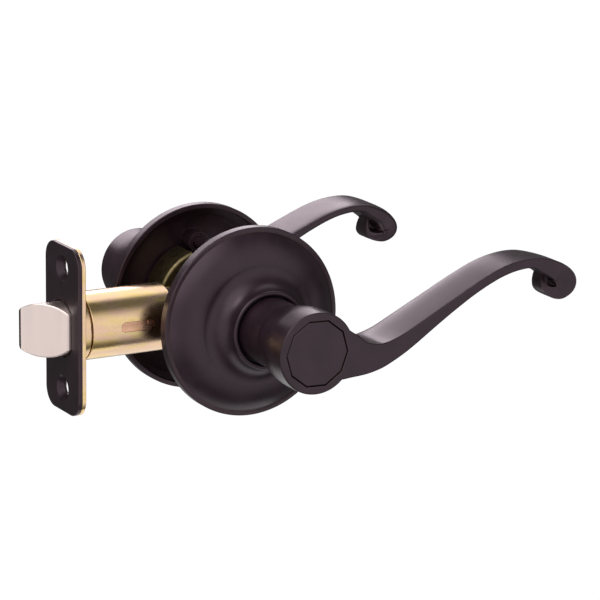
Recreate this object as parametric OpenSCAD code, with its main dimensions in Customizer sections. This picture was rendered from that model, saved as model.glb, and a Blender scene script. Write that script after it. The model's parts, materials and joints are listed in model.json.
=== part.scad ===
// Passage lever lockset: two scroll levers on round roses, a square spindle between them,
// and a tubular spring latch with a face plate.
// Origin: where the spindle axis meets the latch axis, halfway through the door.
// -X points to the door edge, -Y is the front of the door, +Z is up.

/* [Door] */
// Thickness of the door between the two roses
door_t = 35; // [33:0.5:45]
// Distance from the outer face of the face plate to the spindle axis
backset = 60.3; // [60.3:0.1:70]

/* [Face plate] */
// Width of the face plate
plate_w = 25.4; // [25:0.1:28]
// Height of the face plate
plate_h = 57.15; // [56:0.05:60]
// Corner radius of the face plate
plate_corner_r = 6.35; // [4:0.05:8]
// Thickness of the face plate, and of the backing plate behind it
plate_t = 1.4; // [1.2:0.1:1.6]
// Distance between the two screw holes
plate_hole_gap = 41.3; // [40:0.1:43]
// Radius of the screw holes
plate_hole_r = 2.4; // [2.2:0.1:2.6]

/* [Latch] */
// Outer radius of the latch tube
tube_r = 11.5; // [11.4:0.1:11.6]
// Radius of the rounded top and bottom of the bolt
bolt_r = 9.2; // [9:0.1:9.3]
// Half of the bolt's width between its flat sides
bolt_half_w = 6.9; // [6:0.1:7.2]
// How far the bolt stands out of the face plate
bolt_throw = 12.7; // [11:0.1:12.7]
// Radius at which the cam finger drives the bolt tail; the bolt travels as far for a 60 degree turn
finger_r = 11.6; // [11.4:0.1:11.6]

/* [Roses] */
// Outer radius of a rose
rose_r = 32.55; // [32:0.05:36]
// Height of the straight rim of a rose
rose_rim_h = 3.6; // [3:0.1:4]
// Height of the collar lip above the door
collar_h = 16.6; // [16:0.1:18]
// Height of the two through screws above and below the spindle
screw_z = 19.05; // [19:0.05:19.5]

/* [Levers] */
// Distance from the door to the flat face of a lever
lever_face_h = 48.5; // [46:0.5:52]
// Radius of the lever hub
hub_r = 13.8; // [13.4:0.1:15]
// Radius of the neck between rose and hub
neck_r = 11.3; // [11:0.1:11.4]
// Corner radius of the ten-sided plug in the hub
plug_r = 11.3; // [10.5:0.1:11.5]

/* [Hidden] */
$fn = 96;

// Finishes
bronze = [0.24, 0.20, 0.21];
gold = [0.80, 0.66, 0.38];
copper = [0.78, 0.52, 0.38];
nickel = [0.85, 0.82, 0.78];
steel = [0.62, 0.63, 0.65];
nylon = [0.12, 0.12, 0.13];

// Clearances and shared sizes
gap = 0.05;              // running fit
touch = 0.01;            // between pieces that rest on each other
loose = 0.4;             // pieces that must not touch
eps = 0.01;              // makes a cut run just past a face
past = 1;                // makes a cut run well past a face
door_half = door_t / 2;
bore_r = 12.6;           // everything in the edge bore stays inside this radius

// Stations along the latch, from the door edge inwards
plate_x = -backset;
backing_x = plate_x + plate_t;
collar_x = backing_x + plate_t;
dimple_r = 4.6;
dimple_wall = 0.7;
dimple_back_r = dimple_r + 0.3;
dimple_land = 0.9;
collar_l = 3;
collar_r = tube_r + 0.1;
tube_x = collar_x + collar_l + 0.3;
tube_end_x = -23;
tube_wall = 0.9;
tube_in_r = tube_r - tube_wall;
tube_roll_r = 1.2;
bolt_tip_x = plate_x - bolt_throw;
bolt_l = 17.5;
bolt_rear_x = bolt_tip_x + bolt_l;
web_x = bolt_rear_x + 15.6;
web_t = 1.6;

// Latch cam and bolt tail
turn = 60;                       // the lever's full turn, in degrees
cam_core_r = 6.3;
cam_journal_r = 6;
cam_core_half = 5.1;
cam_half = 7;
finger_tip_r = 0.75;
finger_base_w = 4.4;
finger_base_l = 5;
finger_neck_w = 0.9;
finger_neck_from = 9.3;
finger_half_t = 2;
finger_play = 0.15;
rail_in_y = finger_half_t + loose;
rail_out_y = 3.6;
rail_lo_z = 6.6;
rail_hi_z = 8.2;
lug_x = -finger_r * sin(turn / 2) + finger_tip_r + finger_play;
lug_t = 2;
lug_lo_z = 9.4;
lug_hi_z = 12.1;
stem_r = 2.5;
bolt_clip_x = web_x + web_t + gap;
bolt_clip_t = 0.8;
bolt_clip_r = 4.2;
bolt_clip_mouth_w = 2.4;
bolt_groove_r = 2;
tail_spring_z = 11.2;

// Cam case
cheek_in_y = 5.2;
cheek_t = 1.2;
cheek_half_h = 10.4;
cheek_neck_half_h = 7.9;
cheek_neck_end_x = -13.5;
case_plug_l = 6;
case_x = tube_end_x - case_plug_l;
case_step_l = tube_roll_r + gap;
case_wall_x = 14;
case_wall_t = 1.2;
spring_way_r = 5.4;

// Spindle and drive sleeves
spindle_w = 7.1;
spindle_hole_w = 7.2;
sleeve_r = 6.5;
sleeve_in_h = -8.3;              // inner end, measured from the door face
sleeve_groove_r = 5.7;
clip_t = 1;
clip_r = 8.6;
clip_mouth_w = 6;

// Roses, spring cups and what they hold; heights are measured from the door face
rose_wall = 1.7;
dome_h = 8.6;
dome_r = 19;
cove_r = 7.1;
cove_x = 20.6;
collar_in_r = neck_r + 0.5;
shell_t = 1.6;
boss_r = 3.6;
post_r = 3.6;
post_boss_r = 5;
screw_r = 2.08;
screw_head_r = 3.9;
cup_r = 18;
cup_t = 0.9;
cup_floor_h = -5.3;
cup_rim_h = 6;
sleeve_clip_h = cup_floor_h - 0.2 - clip_t;
arm_h = 3.3;
arm_t = 1.4;
spring_r = 12.4;
spring_wire_r = 0.8;
bearing_h = 7.2;
bearing_l = 6;
bearing_in_r = 9.55;

// Lever hub
hub_back_h = 28;                 // where the hub starts to swell out of the neck
hub_swell_l = 14;
hub_edge_r = 0.8;
plug_t = 3;
plug_turn = -2;
plug_sides = 10;
lever_clip_h = lever_face_h - 7;
recess_r = 9;

// Course of the lever arm in front view, from inside the hub to the tip of the scroll:
// [x, z, thickness across the strap, depth front to back, setback from the lever's face].
lever_course = [
    [4, 0, 20, 17, 0], [9, -1.6, 17.6, 17, 0], [13, -2.7, 15, 17, 0], [16.5, -3.6, 12.3, 17.5, 0],
    [20, -4, 10.3, 18, 0], [24, -3.7, 8.6, 18.5, 0], [28, -2.6, 7.2, 19, 0], [32.5, -0.7, 6.3, 19, 0],
    [37.5, 2, 5.5, 19, 0], [44, 5.8, 4.6, 18.5, 0], [51, 9.8, 3.8, 18, 0], [60, 14.7, 3.2, 17.5, 0],
    [69, 18.8, 3.2, 17, 0], [76.5, 20.8, 3.3, 16.5, 0], [83, 21.1, 3.7, 16, 0],
    [88.2, 19.3, 5.4, 15.5, 0], [93.4, 16.5, 6.8, 15, 0], [96.2, 12.7, 8, 14.5, 0.3],
    [94.8, 9.9, 5.4, 13, 0.8], [91.9, 9.6, 3.8, 10.5, 1.5], [89.7, 10.8, 2.6, 8, 2.5],
    [89, 13, 1.9, 6.5, 3.5], [89.2, 15.2, 1.6, 5.5, 4.2], [89.6, 16.8, 1.4, 5, 4.5]];
course_steps = 3;                // stations between two points of the course
section_n = 12;                  // points round the strap's rounded back
section_power = 0.4;             // below 1 squares the strap's section up
tightest_bend = 0.92;            // the strap's inner face stays outside this part of a bend's radius
rear_droop = 3.9;                // the rear lever hangs this many degrees below level at rest

// ---------------------------------------------------------------- frames of reference

// Shapes seen from the front, z out of the door, moved to the front of the door.
module on_front() rotate([90, 0, 0]) children();

// The same on the rear of the door.
module on_rear() mirror([0, 1, 0]) on_front() children();

// A shape built up the z axis, laid along the latch.
module along_latch(x) translate([x, 0, 0]) rotate([0, 90, 0]) children();

module ring(outer_r, inner_r, l) {
    difference() {
        cylinder(h = l, r = outer_r);
        translate([0, 0, -eps]) cylinder(h = l + 2 * eps, r = inner_r);
    }
}

// ---------------------------------------------------------------- swept shapes

// A smooth curve through four neighbouring points p, at the fraction t between the middle two.
function blend(p, t) = 0.5 * (2 * p[1] + (p[2] - p[0]) * t
    + (2 * p[0] - 5 * p[1] + 4 * p[2] - p[3]) * t * t
    + (3 * p[1] - p[0] - 3 * p[2] + p[3]) * t * t * t);
function clamp_index(i, n) = max(0, min(n - 1, i));
function smooth_course(c, steps) = [
    for (i = [0 : len(c) - 2], k = [0 : steps - 1])
        blend([for (j = [-1 : 2]) c[clamp_index(i + j, len(c))]], k / steps),
    c[len(c) - 1]];

// One flat ring of points per station, joined into a closed skin.
module skin(rings) {
    n = len(rings[0]);
    m = len(rings);
    sides = [for (i = [0 : m - 2], j = [0 : n - 1])
        [i * n + j, i * n + (j + 1) % n, (i + 1) * n + (j + 1) % n, (i + 1) * n + j]];
    first_cap = [for (j = [n - 1 : -1 : 0]) j];
    last_cap = [for (j = [0 : n - 1]) (m - 1) * n + j];
    polyhedron(points = [for (ring_points = rings, p = ring_points) p],
               faces = concat([first_cap], sides, [last_cap]), convexity = 10);
}

function direction(path, i) =
    let (d = path[clamp_index(i + 1, len(path))] - path[clamp_index(i - 1, len(path))]) d / norm(d);

// A round wire along a path that never runs straight up the z axis.
module wire(path, wire_r) {
    sides = 8;
    skin([for (i = [0 : len(path) - 1])
        let (t = direction(path, i), s = cross([0, 0, 1], t) / norm(cross([0, 0, 1], t)), u = cross(t, s))
        [for (k = [0 : sides - 1])
            let (a = -360 * k / sides) path[i] + wire_r * (cos(a) * s + sin(a) * u)]]);
}

// Points of a coil about the z axis, from angle a0, rising from z0 to z1.
function coil(r, a0, turns, z0, z1, per_turn) =
    let (n = round(turns * per_turn))
    [for (i = [0 : n]) let (a = a0 + 360 * turns * i / n)
        [r * cos(a), r * sin(a), z0 + (z1 - z0) * i / n]];

// ---------------------------------------------------------------- face plate and latch tube

module plate_outline() {
    w = plate_w / 2 - plate_corner_r;
    h = plate_h / 2 - plate_corner_r;
    square([plate_w, 2 * h], center = true);
    square([2 * w, plate_h], center = true);
    for (sx = [-1, 1], sy = [-1, 1]) translate([sx * w, sy * h]) circle(r = plate_corner_r);
}

// The bolt's cross section: a circle cut by two flat sides, y across and x up.
module bolt_outline(r, half_w) {
    intersection() {
        circle(r = r);
        square([2 * r + 1, 2 * half_w], center = true);
    }
}

module at_plate_screws() for (s = [-1, 1]) translate([s * plate_hole_gap / 2, 0, 0]) children();

// Each screw hole is a deep dimple with a short straight land, formed right through the backing plate.
module faceplate() color(bronze) along_latch(plate_x) {
    bolt_gap_z = 0.5;
    bolt_gap_y = 0.25;
    dimple_l = 2 * plate_t;
    difference() {
        union() {
            linear_extrude(plate_t) rotate(90) plate_outline();
            at_plate_screws() cylinder(h = dimple_l, r1 = dimple_back_r, r2 = plate_hole_r + dimple_wall);
        }
        translate([0, 0, -eps]) linear_extrude(plate_t + 2 * eps)
            bolt_outline(bolt_r + bolt_gap_z, bolt_half_w + bolt_gap_y);
        at_plate_screws() rotate_extrude() polygon([
            [0, -eps], [dimple_r, -eps], [dimple_r, 0], [plate_hole_r, dimple_l - dimple_land],
            [plate_hole_r, dimple_l + eps], [0, dimple_l + eps]]);
    }
}

module faceplate_backing() color(gold) along_latch(backing_x + touch) {
    difference() {
        linear_extrude(plate_t - touch) rotate(90) plate_outline();
        translate([0, 0, -eps]) cylinder(h = plate_t + 2 * eps, r = collar_r + gap);
        at_plate_screws() translate([0, 0, -eps]) cylinder(h = plate_t + 2 * eps, r = dimple_back_r + gap);
    }
}

// The collar passes through the backing plate and rests on the back of the face plate.
module latch_collar() color(gold) along_latch(backing_x + touch) {
    bolt_play = 0.3;
    ring(collar_r, bolt_r + bolt_play, collar_x + collar_l - backing_x);
}

// The tube has a long slot in its front side and a rolled inner end.
module latch_tube() color(gold) {
    l = tube_end_x - tube_x;
    slot_x = -43.9;
    slot_l = 12.2;
    slot_z = 0.8;
    slot_w = 3.4;
    slot_cut_l = 4;
    difference() {
        along_latch(tube_x) rotate_extrude() {
            translate([tube_in_r, 0]) square([tube_wall, l - tube_roll_r]);
            translate([tube_r - tube_roll_r, l - tube_roll_r]) intersection() {
                difference() {
                    circle(r = tube_roll_r);
                    circle(r = tube_roll_r - tube_wall);
                }
                square(tube_roll_r);
            }
        }
        translate([slot_x + slot_w / 2, slot_cut_l / 2 - tube_r, slot_z])
            rotate([90, 0, 0]) linear_extrude(slot_cut_l) {
            circle(r = slot_w / 2);
            translate([slot_l - slot_w, 0]) circle(r = slot_w / 2);
            translate([0, -slot_w / 2]) square([slot_l - slot_w, slot_w]);
        }
    }
}

// Guides the bolt inside the tube; a small tang of it shows in the tube's slot.
module guide_sleeve() color(copper) {
    tang = [0.9, 1.9, 1.1];
    tang_x = -34;
    tang_z = 1.1;
    along_latch(tube_x) ring(tube_in_r - gap, bolt_r + 0.1, case_x - loose - tube_x);
    translate([tang_x, gap * 2 - tube_r, tang_z]) cube(tang);
}

// ---------------------------------------------------------------- cam case, cam, bolt and tail

// A flat cheek on each side of the cam, from x0 to x1.
module case_cheeks(x0, x1, half_h) {
    for (s = [-1, 1]) translate([x0, s * (cheek_in_y + cheek_t / 2) - cheek_t / 2, -half_h])
        cube([x1 - x0, cheek_t, 2 * half_h]);
}

// A stepped plug in the end of the tube, two cheeks, and an end wall for the tail's springs.
module cam_case() color(gold) {
    plug_r = tube_in_r - gap;
    step_in = 0.8;
    step_r = plug_r - step_in;
    cheek_x = tube_end_x - case_step_l;
    window_y = rail_out_y + loose;
    window_z = rail_hi_z + loose;
    difference() {
        union() {
            along_latch(case_x) cylinder(h = case_plug_l - case_step_l, r = plug_r);
            along_latch(case_x) cylinder(h = case_plug_l, r = step_r);
            case_cheeks(cheek_x, case_wall_x + case_wall_t / 2, cheek_neck_half_h);
            case_cheeks(cheek_neck_end_x, case_wall_x + case_wall_t / 2, cheek_half_h);
            intersection() {
                along_latch(case_wall_x) cylinder(h = case_wall_t, r = bore_r);
                translate([case_wall_x, -cheek_in_y - cheek_t, -bore_r])
                    cube([case_wall_t, 2 * (cheek_in_y + cheek_t), 2 * bore_r]);
            }
        }
        translate([case_x - past, -window_y, -window_z])
            cube([case_plug_l + 2 * past, 2 * window_y, 2 * window_z]);
        along_latch(case_x - past) cylinder(h = case_plug_l + 2 * past, r = spring_way_r);
        rotate([90, 0, 0]) cylinder(h = 4 * cheek_in_y, r = cam_journal_r + gap, center = true);
    }
}

// Planes the bolt's front side to a slope that leaves a narrow flat at the tip.
module bolt_bevel_cutter() {
    nose_w = 1.1;
    shoulder = 1;
    far_y = bolt_half_w - nose_w;
    near_x = plate_x - shoulder;
    clear_y = -bolt_half_w - past;
    linear_extrude(4 * bolt_r, center = true) polygon([
        [bolt_tip_x, far_y], [near_x, -bolt_half_w - eps], [near_x, clear_y],
        [bolt_tip_x - past, clear_y], [bolt_tip_x - past, far_y]]);
}

// The bolt's stem passes through the tail's web and ends in a clip, so the tail can pull the bolt
// in, and the bolt can also spring in by itself.
module latch_bolt() color(nickel) {
    stem_x = bolt_rear_x - past;
    stem_past_clip = 0.5;
    stem_end_x = bolt_clip_x + bolt_clip_t + stem_past_clip;
    difference() {
        union() {
            along_latch(bolt_tip_x) linear_extrude(bolt_l) bolt_outline(bolt_r, bolt_half_w);
            along_latch(stem_x) cylinder(h = stem_end_x - stem_x, r = stem_r);
        }
        bolt_bevel_cutter();
        along_latch(bolt_clip_x - gap / 2) ring(stem_r + past, bolt_groove_r, bolt_clip_t + gap);
    }
}

module bolt_clip() color(steel) {
    along_latch(bolt_clip_x) difference() {
        ring(bolt_clip_r, bolt_groove_r + gap / 2, bolt_clip_t);
        translate([0, -bolt_clip_mouth_w / 2, -past])
            cube([2 * bolt_clip_r, bolt_clip_mouth_w, bolt_clip_t + 2 * past]);
    }
}

// A web round the bolt's stem, and four rails that end in two lugs beside the cam.
module bolt_tail() color(steel) {
    difference() {
        translate([web_x, -rail_out_y, -rail_hi_z]) cube([web_t, 2 * rail_out_y, 2 * rail_hi_z]);
        along_latch(web_x - past) cylinder(h = web_t + 2 * past, r = stem_r + gap);
    }
    for (sy = [0, 1], sz = [0, 1]) mirror([0, sy, 0]) mirror([0, 0, sz]) {
        translate([web_x, rail_in_y, rail_lo_z])
            cube([lug_x + lug_t - web_x, rail_out_y - rail_in_y, rail_hi_z - rail_lo_z]);
        translate([lug_x, rail_in_y, rail_lo_z]) cube([lug_t, rail_out_y - rail_in_y, lug_hi_z - rail_lo_z]);
    }
    for (sz = [0, 1]) mirror([0, 0, sz])
        translate([lug_x, -rail_out_y, lug_lo_z]) cube([lug_t, 2 * rail_out_y, lug_hi_z - lug_lo_z]);
}

module bolt_spring() color(steel) {
    wire_r = 0.35;
    r = 4.6;
    turns = 4;
    per_turn = 20;
    l = web_x - bolt_rear_x - 2 * wire_r - 2 * gap;
    along_latch(bolt_rear_x + wire_r + gap) wire(coil(r, 0, turns, 0, l, per_turn), wire_r);
}

module tail_springs() color(steel) {
    wire_r = 0.22;
    r = 0.95;
    turns = 6;
    per_turn = 10;
    x0 = lug_x + lug_t + wire_r + gap;
    l = case_wall_x - x0 - wire_r - gap;
    for (s = [-1, 1]) translate([0, 0, s * tail_spring_z]) along_latch(x0)
        wire(coil(r, 0, turns, 0, l, per_turn), wire_r);
}

// A finger with a round tip on a narrow neck, leaning back by half of the lever's turn.
module cam_finger() {
    rotate([0, -turn / 2, 0]) rotate([90, 0, 0]) {
        linear_extrude(2 * finger_half_t, center = true) for (s = [-1, 1]) polygon([
            [-eps, 0], [s * finger_base_w / 2, 0], [s * finger_base_w / 2, finger_base_l],
            [s * finger_neck_w / 2, finger_neck_from], [s * finger_neck_w / 2, finger_r], [-eps, finger_r]]);
        translate([0, finger_r, 0]) cylinder(h = 2 * finger_half_t, r = finger_tip_r, center = true);
    }
}

module latch_cam() color(steel) {
    difference() {
        union() {
            rotate([90, 0, 0]) cylinder(h = 2 * cam_core_half, r = cam_core_r, center = true);
            rotate([90, 0, 0]) cylinder(h = 2 * cam_half, r = cam_journal_r, center = true);
            cam_finger();
            mirror([0, 0, 1]) cam_finger();
        }
        cube([spindle_hole_w, 4 * cam_half, spindle_hole_w], center = true);
    }
}

module spindle() color(steel) {
    end_h = 14;
    half_l = door_half + end_h;
    translate([-spindle_w / 2, -half_l, -spindle_w / 2]) cube([spindle_w, 2 * half_l, spindle_w]);
}

// ---------------------------------------------------------------- one side of the door
// These are seen from the front: x right, y up, z out of the door from its middle.

// Profile of a rose, radius against height above the door: a straight rim with a fine groove
// inside it, a low dome, a cove that sweeps up, and a collar with a rounded lip.
module rose_profile() {
    rim_w = 1.3;
    rim_edge = 0.5;
    groove_w = 0.35;
    groove_d = 0.2;
    inner_low = 4;               // degrees that the inside of the dome stops short of the outside
    floor_h = bearing_h - 0.2;
    floor_r = dome_r - 3;
    wall_h = 2;
    groove_r = rose_r - rim_w;
    dome_w = groove_r - groove_w - dome_r;
    dome_rise = dome_h - rose_rim_h;
    dome_bend = (dome_w ^ 2 + dome_rise ^ 2) / (2 * dome_rise);
    dome_low = asin((dome_h - dome_bend - rose_rim_h) / -dome_bend);
    lip_r = (cove_x - cove_r - collar_in_r) / 2;
    arc_n = 16;
    dome = [for (i = [0 : arc_n]) let (a = dome_low + (90 - dome_low) * i / arc_n)
        [dome_r + dome_bend * cos(a), dome_h - dome_bend + dome_bend * sin(a)]];
    cove = [for (i = [0 : arc_n]) let (a = 270 - 90 * i / arc_n)
        [cove_x + cove_r * cos(a), dome_h + cove_r + cove_r * sin(a)]];
    lip = [for (i = [0 : arc_n]) let (a = 180 * i / arc_n)
        [collar_in_r + lip_r + lip_r * cos(a), collar_h - lip_r + lip_r * sin(a)]];
    inner_dome = [for (i = [arc_n : -1 : 0])
        let (a = dome_low + inner_low + (90 - inner_low - dome_low) * i / arc_n)
        [dome_r + (dome_bend - shell_t) * cos(a), dome_h - dome_bend + (dome_bend - shell_t) * sin(a)]];
    polygon(concat(
        [[rose_r, 0], [rose_r, rose_rim_h - rim_edge], [rose_r - rim_edge, rose_rim_h],
         [groove_r, rose_rim_h], [groove_r, rose_rim_h - groove_d],
         [groove_r - groove_w, rose_rim_h - groove_d]],
        dome, cove, lip,
        [[collar_in_r, floor_h], [floor_r, floor_h]],
        inner_dome,
        [[rose_r - rose_wall, wall_h], [rose_r - rose_wall, 0]]));
}

module rose_shell() translate([0, 0, door_half]) rotate_extrude() rose_profile();

module at_screws() for (s = [-1, 1]) translate([0, s * screw_z, door_half]) children();

module front_rose_shape() {
    difference() {
        union() {
            rose_shell();
            at_screws() cylinder(h = dome_h - shell_t / 2, r = post_boss_r);
        }
        at_screws() translate([0, 0, -past]) cylinder(h = dome_h - shell_t, r = post_r + gap / 2);
    }
}

// The rear rose has a screw hole and a flat seat for the screw head at top and bottom.
module rear_rose_shape() {
    screw_play = 0.25;
    head_play = 0.3;
    seat_h = dome_h - 1;
    difference() {
        union() {
            rose_shell();
            at_screws() cylinder(h = dome_h - shell_t / 2, r = boss_r);
        }
        at_screws() translate([0, 0, -past]) cylinder(h = 2 * collar_h, r = screw_r + screw_play);
        at_screws() translate([0, 0, seat_h]) cylinder(h = collar_h, r = screw_head_r + head_play);
    }
}

// An open-topped cup, scalloped where the screw bosses pass, with a lug for one end of the spring.
module spring_cup_shape() {
    floor_z = door_half + cup_floor_h;
    l = cup_rim_h - cup_floor_h;
    lug_angle = 330;
    lug = [2.4, 2, 3];
    lug_x = cup_r - cup_t - 2.2;
    difference() {
        union() {
            translate([0, 0, floor_z]) ring(cup_r, cup_r - cup_t, l);
            translate([0, 0, floor_z]) ring(cup_r - cup_t / 2, sleeve_r + loose, cup_t);
            rotate(lug_angle) translate([lug_x, -lug[1] / 2, floor_z + cup_t / 2]) cube(lug);
        }
        for (s = [-1, 1]) translate([0, s * screw_z, floor_z - past])
            cylinder(h = l + 2 * past, r = post_boss_r + loose);
    }
}

module bearing_shape() {
    translate([0, 0, door_half + bearing_h]) ring(collar_in_r - touch, bearing_in_r, bearing_l);
}

// A flat arm on the drive sleeve, with a tab that pushes the moving end of the spring.
module spring_arm_shape() {
    arm_z = door_half + arm_h;
    arm_angle = 210;
    boss_round_r = 9.5;
    arm_l = 16.4;
    arm_w = 4;
    tab_t = 1.6;
    tab_down = 2.6;
    difference() {
        union() {
            translate([0, 0, arm_z]) cylinder(h = arm_t, r = boss_round_r);
            rotate(arm_angle) translate([0, -arm_w / 2, arm_z]) cube([arm_l, arm_w, arm_t]);
            rotate(arm_angle) translate([arm_l - tab_t, -arm_w / 2, arm_z - tab_down])
                cube([tab_t, arm_w, tab_down + arm_t / 2]);
        }
        translate([0, 0, arm_z - past]) cylinder(h = arm_t + 2 * past, r = sleeve_r + touch);
    }
}

// A torsion spring: a short leg against the cup's lug, the coils, and a short leg against the arm's tab.
module return_spring_shape() {
    above_floor = 1.4;
    below_arm = 1.5;
    z0 = door_half + cup_floor_h + cup_t + above_floor;
    z1 = door_half + arm_h - below_arm;
    start = 337;
    stop = 199.5;
    leg = 15.9;
    turns = 2 + (stop + 360 - start) / 360;
    per_turn = 28;
    wire(concat([[leg * cos(start), leg * sin(start), z0]],
                coil(spring_r, start, turns, z0, z1, per_turn),
                [[leg * cos(stop), leg * sin(stop), z1]]), spring_wire_r);
}

// A shaft that carries the lever; its inner end has a square hole for the spindle.
module drive_sleeve_shape() {
    z0 = door_half + sleeve_in_h;
    end_below_face = 5.5;
    l = lever_face_h - end_below_face - sleeve_in_h;
    hole_l = 24;
    difference() {
        translate([0, 0, z0]) cylinder(h = l, r = sleeve_r);
        translate([-spindle_hole_w / 2, -spindle_hole_w / 2, z0 - past])
            cube([spindle_hole_w, spindle_hole_w, hole_l]);
        clip_groove(sleeve_clip_h);
        clip_groove(lever_clip_h);
    }
}

module clip_groove(h) {
    translate([0, 0, door_half + h - gap / 2]) ring(sleeve_r + past, sleeve_groove_r, clip_t + gap);
}

// An open retaining ring that snaps into a groove of the drive sleeve.
module clip_shape(h) {
    translate([0, 0, door_half + h]) difference() {
        ring(clip_r, sleeve_groove_r + gap / 2, clip_t);
        translate([-clip_mouth_w / 2, 0, -past]) cube([clip_mouth_w, 2 * clip_r, clip_t + 2 * past]);
    }
}

module plug_shape() {
    translate([0, 0, door_half + lever_face_h - plug_t]) rotate(plug_turn)
        cylinder(h = plug_t, r = plug_r, $fn = plug_sides);
}

// ---------------------------------------------------------------- lever

// Journal, neck and bulb-shaped hub, radius against height above the door.
module hub_profile() {
    arc_n = 12;
    hub_bore_r = sleeve_r + touch;
    journal_r = bearing_in_r - gap;
    inner_end = bearing_h - 0.1;
    shoulder = bearing_h + bearing_l + 0.3;
    swell = [for (i = [0 : arc_n]) let (t = i / arc_n)
        [neck_r + (hub_r - neck_r) * sin(90 * t), hub_back_h + hub_swell_l * t]];
    edge = [for (i = [0 : 4]) let (a = 90 * i / 4)
        [hub_r - hub_edge_r + hub_edge_r * cos(a), lever_face_h - hub_edge_r + hub_edge_r * sin(a)]];
    polygon(concat([[hub_bore_r, inner_end], [journal_r, inner_end], [journal_r, shoulder],
                    [neck_r, shoulder]],
                   swell, edge, [[hub_bore_r, lever_face_h]]));
}

// Signed turn of a path at a point, and the radius of its bend there.
function turn_at(before, after) = (before[0] * after[1] - before[1] * after[0]) / norm(before) / norm(after);
function bend_radius(before, after, t) = (norm(before) + norm(after)) / 2 / max(abs(t), 0.001);

// A ring of points round the strap at one station: flat in front, rounded behind.
function strap_section(at, side, half_left, half_right, depth, setback) =
    [for (k = [0 : section_n]) let (a = 180 * k / section_n, c = cos(a), s = sin(a))
        concat(at + side * (c > 0 ? half_left : half_right) * sign(c) * abs(c) ^ section_power,
               door_half + lever_face_h - max(setback, 0) - depth * s ^ section_power)];

module lever_arm() {
    stations = smooth_course(lever_course, course_steps);
    path = [for (p = stations) [p[0], p[1]]];
    last = len(path) - 1;
    skin([for (i = [0 : last])
        let (along = direction(path, i), side = [-along[1], along[0]], half = stations[i][2] / 2,
             before = path[max(i, 1)] - path[max(i, 1) - 1],
             after = path[min(i, last - 1) + 1] - path[min(i, last - 1)],
             t = turn_at(before, after),
             inside = min(half, tightest_bend * bend_radius(before, after, t)))
        strap_section(path[i], side, t > 0 ? inside : half, t > 0 ? half : inside,
                      stations[i][3], stations[i][4])]);
}

module lever_shape() {
    arm_root_r = neck_r;
    plug_play = 0.12;
    recess_l = 5;
    difference() {
        union() {
            translate([0, 0, door_half]) rotate_extrude() hub_profile();
            difference() {
                lever_arm();
                translate([0, 0, door_half]) cylinder(h = lever_face_h + past, r = arm_root_r);
            }
        }
        translate([0, 0, door_half + lever_face_h - plug_t - gap]) rotate(plug_turn)
            cylinder(h = plug_t + past, r = plug_r + plug_play, $fn = plug_sides);
        translate([0, 0, door_half + lever_clip_h - loose]) cylinder(h = recess_l, r = recess_r);
    }
}

// ---------------------------------------------------------------- fixings between the two sides

module front_posts() color(steel) on_front() {
    below_shell = 1.1;
    past_middle = 8;
    bore_l = 24;
    top = dome_h - shell_t - below_shell;
    l = door_half + top + past_middle;
    for (s = [-1, 1]) translate([0, s * screw_z, door_half + top - l]) difference() {
        cylinder(h = l, r = post_r);
        translate([0, 0, -past]) cylinder(h = bore_l + past, r = screw_r + gap);
    }
}

module through_screws() color(bronze) on_rear() {
    head_t = 2.2;
    reach = 20;
    slot_w = 0.9;
    slot_l = 4.4;
    slot_d = 1.3;
    seat_h = dome_h - 1;
    head_top_r = screw_head_r - 1;
    for (s = [-1, 1]) translate([0, s * screw_z, door_half + seat_h]) difference() {
        union() {
            translate([0, 0, -seat_h - reach]) cylinder(h = seat_h + reach + head_t / 4, r = screw_r);
            translate([0, 0, touch]) cylinder(h = head_t, r1 = screw_head_r, r2 = head_top_r);
        }
        for (a = [0, 90]) rotate(a) translate([-slot_l / 2, -slot_w / 2, head_t - slot_d])
            cube([slot_l, slot_w, 2 * slot_d]);
    }
}

// ---------------------------------------------------------------- both sides

module front_rose() color(bronze) on_front() front_rose_shape();
module rear_rose() color(bronze) on_rear() rear_rose_shape();
module front_spring_cup() color(gold) on_front() spring_cup_shape();
module rear_spring_cup() color(gold) on_rear() spring_cup_shape();
module front_bearing() color(nylon) on_front() bearing_shape();
module rear_bearing() color(nylon) on_rear() bearing_shape();
module front_return_spring() color(steel) on_front() return_spring_shape();
module rear_return_spring() color(steel) on_rear() return_spring_shape();
module front_spring_arm() color(steel) on_front() spring_arm_shape();
module rear_spring_arm() color(steel) on_rear() spring_arm_shape();
module front_drive_sleeve() color(steel) on_front() drive_sleeve_shape();
module rear_drive_sleeve() color(steel) on_rear() drive_sleeve_shape();
module front_sleeve_clip() color(steel) on_front() clip_shape(sleeve_clip_h);
module rear_sleeve_clip() color(steel) on_rear() clip_shape(sleeve_clip_h);
module front_lever() color(bronze) on_front() lever_shape();
module rear_lever() color(bronze) on_rear() rotate(-rear_droop) lever_shape();
module front_lever_clip() color(steel) on_front() clip_shape(lever_clip_h);
module rear_lever_clip() color(steel) on_rear() clip_shape(lever_clip_h);
module front_lever_plug() color(bronze) on_front() plug_shape();
module rear_lever_plug() color(bronze) on_rear() rotate(-rear_droop) plug_shape();

faceplate();
faceplate_backing();
latch_collar();
latch_tube();
guide_sleeve();
cam_case();
latch_bolt();
bolt_clip();
bolt_tail();
bolt_spring();
tail_springs();
latch_cam();
spindle();
front_posts();
through_screws();
front_rose();
front_spring_cup();
front_bearing();
front_return_spring();
front_spring_arm();
front_drive_sleeve();
front_sleeve_clip();
front_lever();
front_lever_clip();
front_lever_plug();
rear_rose();
rear_spring_cup();
rear_bearing();
rear_return_spring();
rear_spring_arm();
rear_drive_sleeve();
rear_sleeve_clip();
rear_lever();
rear_lever_clip();
rear_lever_plug();
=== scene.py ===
"""A passage lever lockset, two scroll levers on round roses and a tubular latch, round its CAD frame."""

import json
import math

import bmesh
import bpy
from mathutils import Matrix, Vector


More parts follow.
